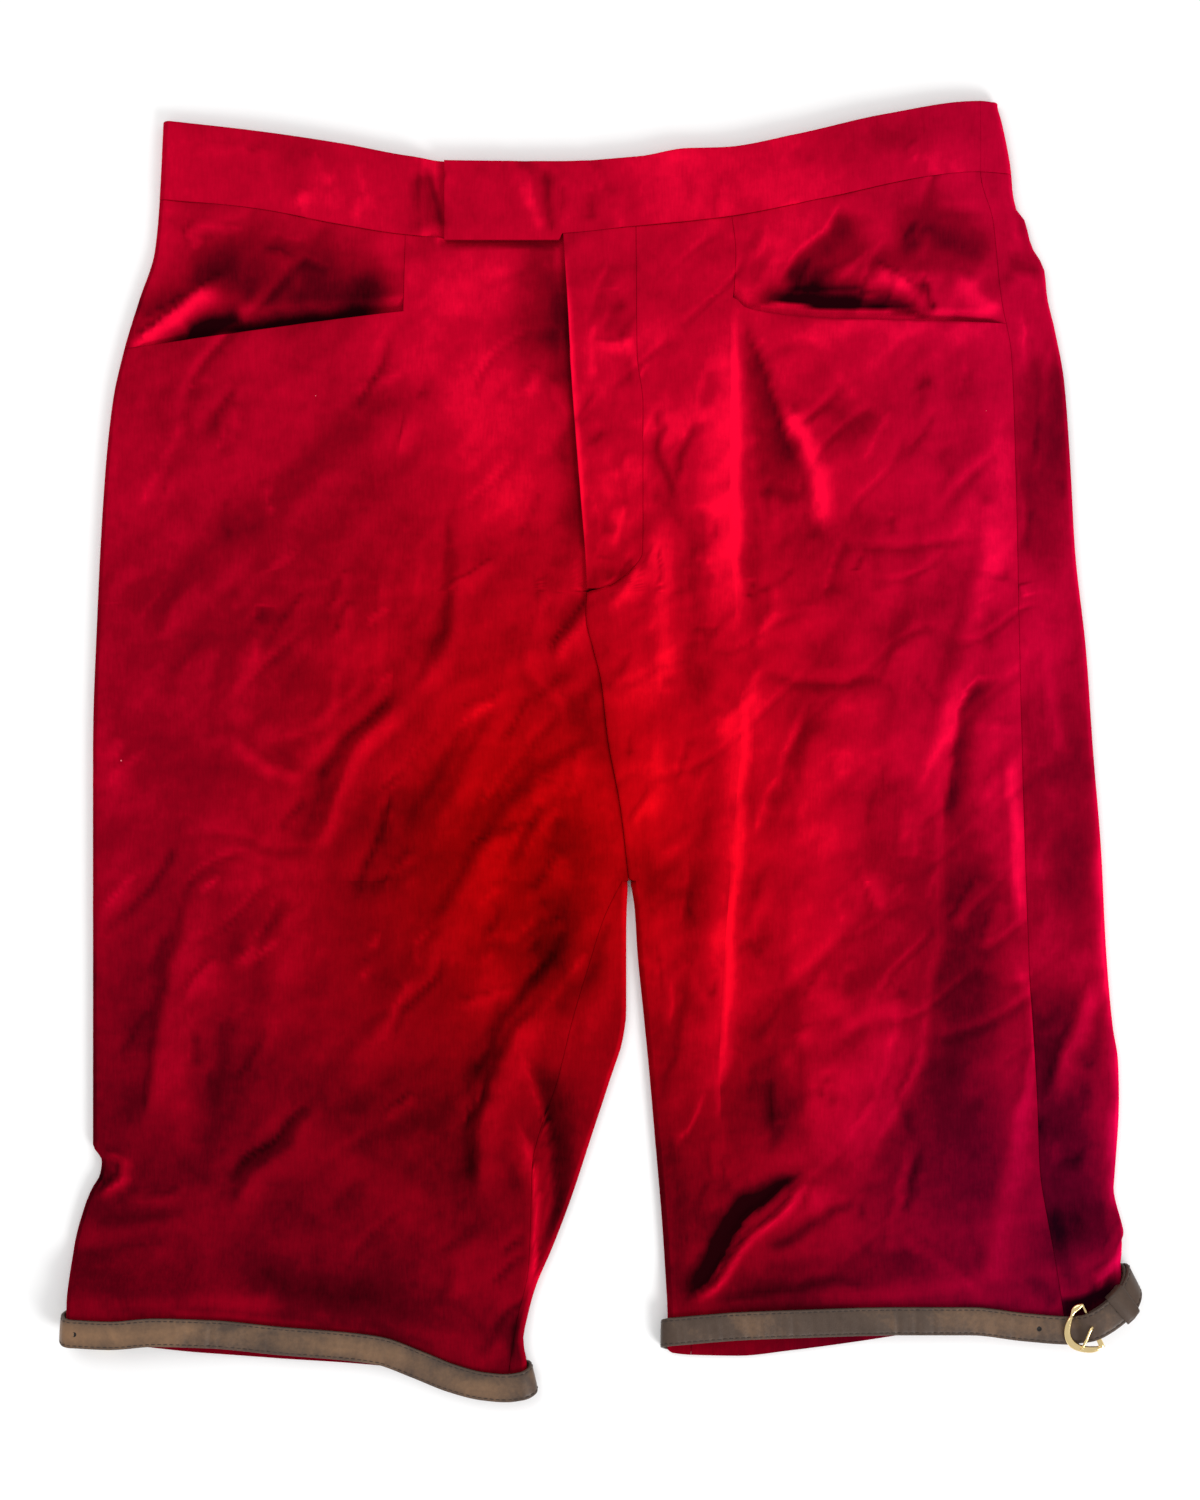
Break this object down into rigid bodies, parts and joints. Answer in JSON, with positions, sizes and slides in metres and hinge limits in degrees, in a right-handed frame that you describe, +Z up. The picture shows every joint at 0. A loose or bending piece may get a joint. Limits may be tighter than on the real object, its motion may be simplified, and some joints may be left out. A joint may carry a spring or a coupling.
{
  "type": "shorts",
  "caption": "Knee-length velvet shorts laid flat front up, with cross pockets, overlapped fly, tab waistband and a buckled leather strap round each hem.",
  "frame": {"origin": "centre of the laid-out shorts, on the surface they lie on", "axes": "+Z up from the surface, +Y towards the waist, +X towards the wearer's left leg"},
  "size_m": [0.5396, 0.6505, 0.0201],
  "materials": {
    "velvet": "cotton velvet, short pile",
    "waistband": "cotton velvet, pressed double",
    "strap": "smooth, stitched along both edges",
    "buckle": "polished gold tone"
  },
  "bodies": {
    "root": {"front_right": "velvet", "front_left": "velvet", "back_right": "velvet", "back_left": "velvet", "yoke_right": "velvet", "yoke_left": "velvet", "fly_overlap": "velvet", "waistband_front_right": "waistband", "waistband_front_left": "waistband", "waistband_back": "waistband", "strap_right": "strap", "strap_left": "strap", "keeper_right": "strap", "keeper_left": "strap", "buckle_right": "buckle", "buckle_left": "buckle", "prong_right": "buckle", "prong_left": "buckle"}
  },
  "joints": []
}
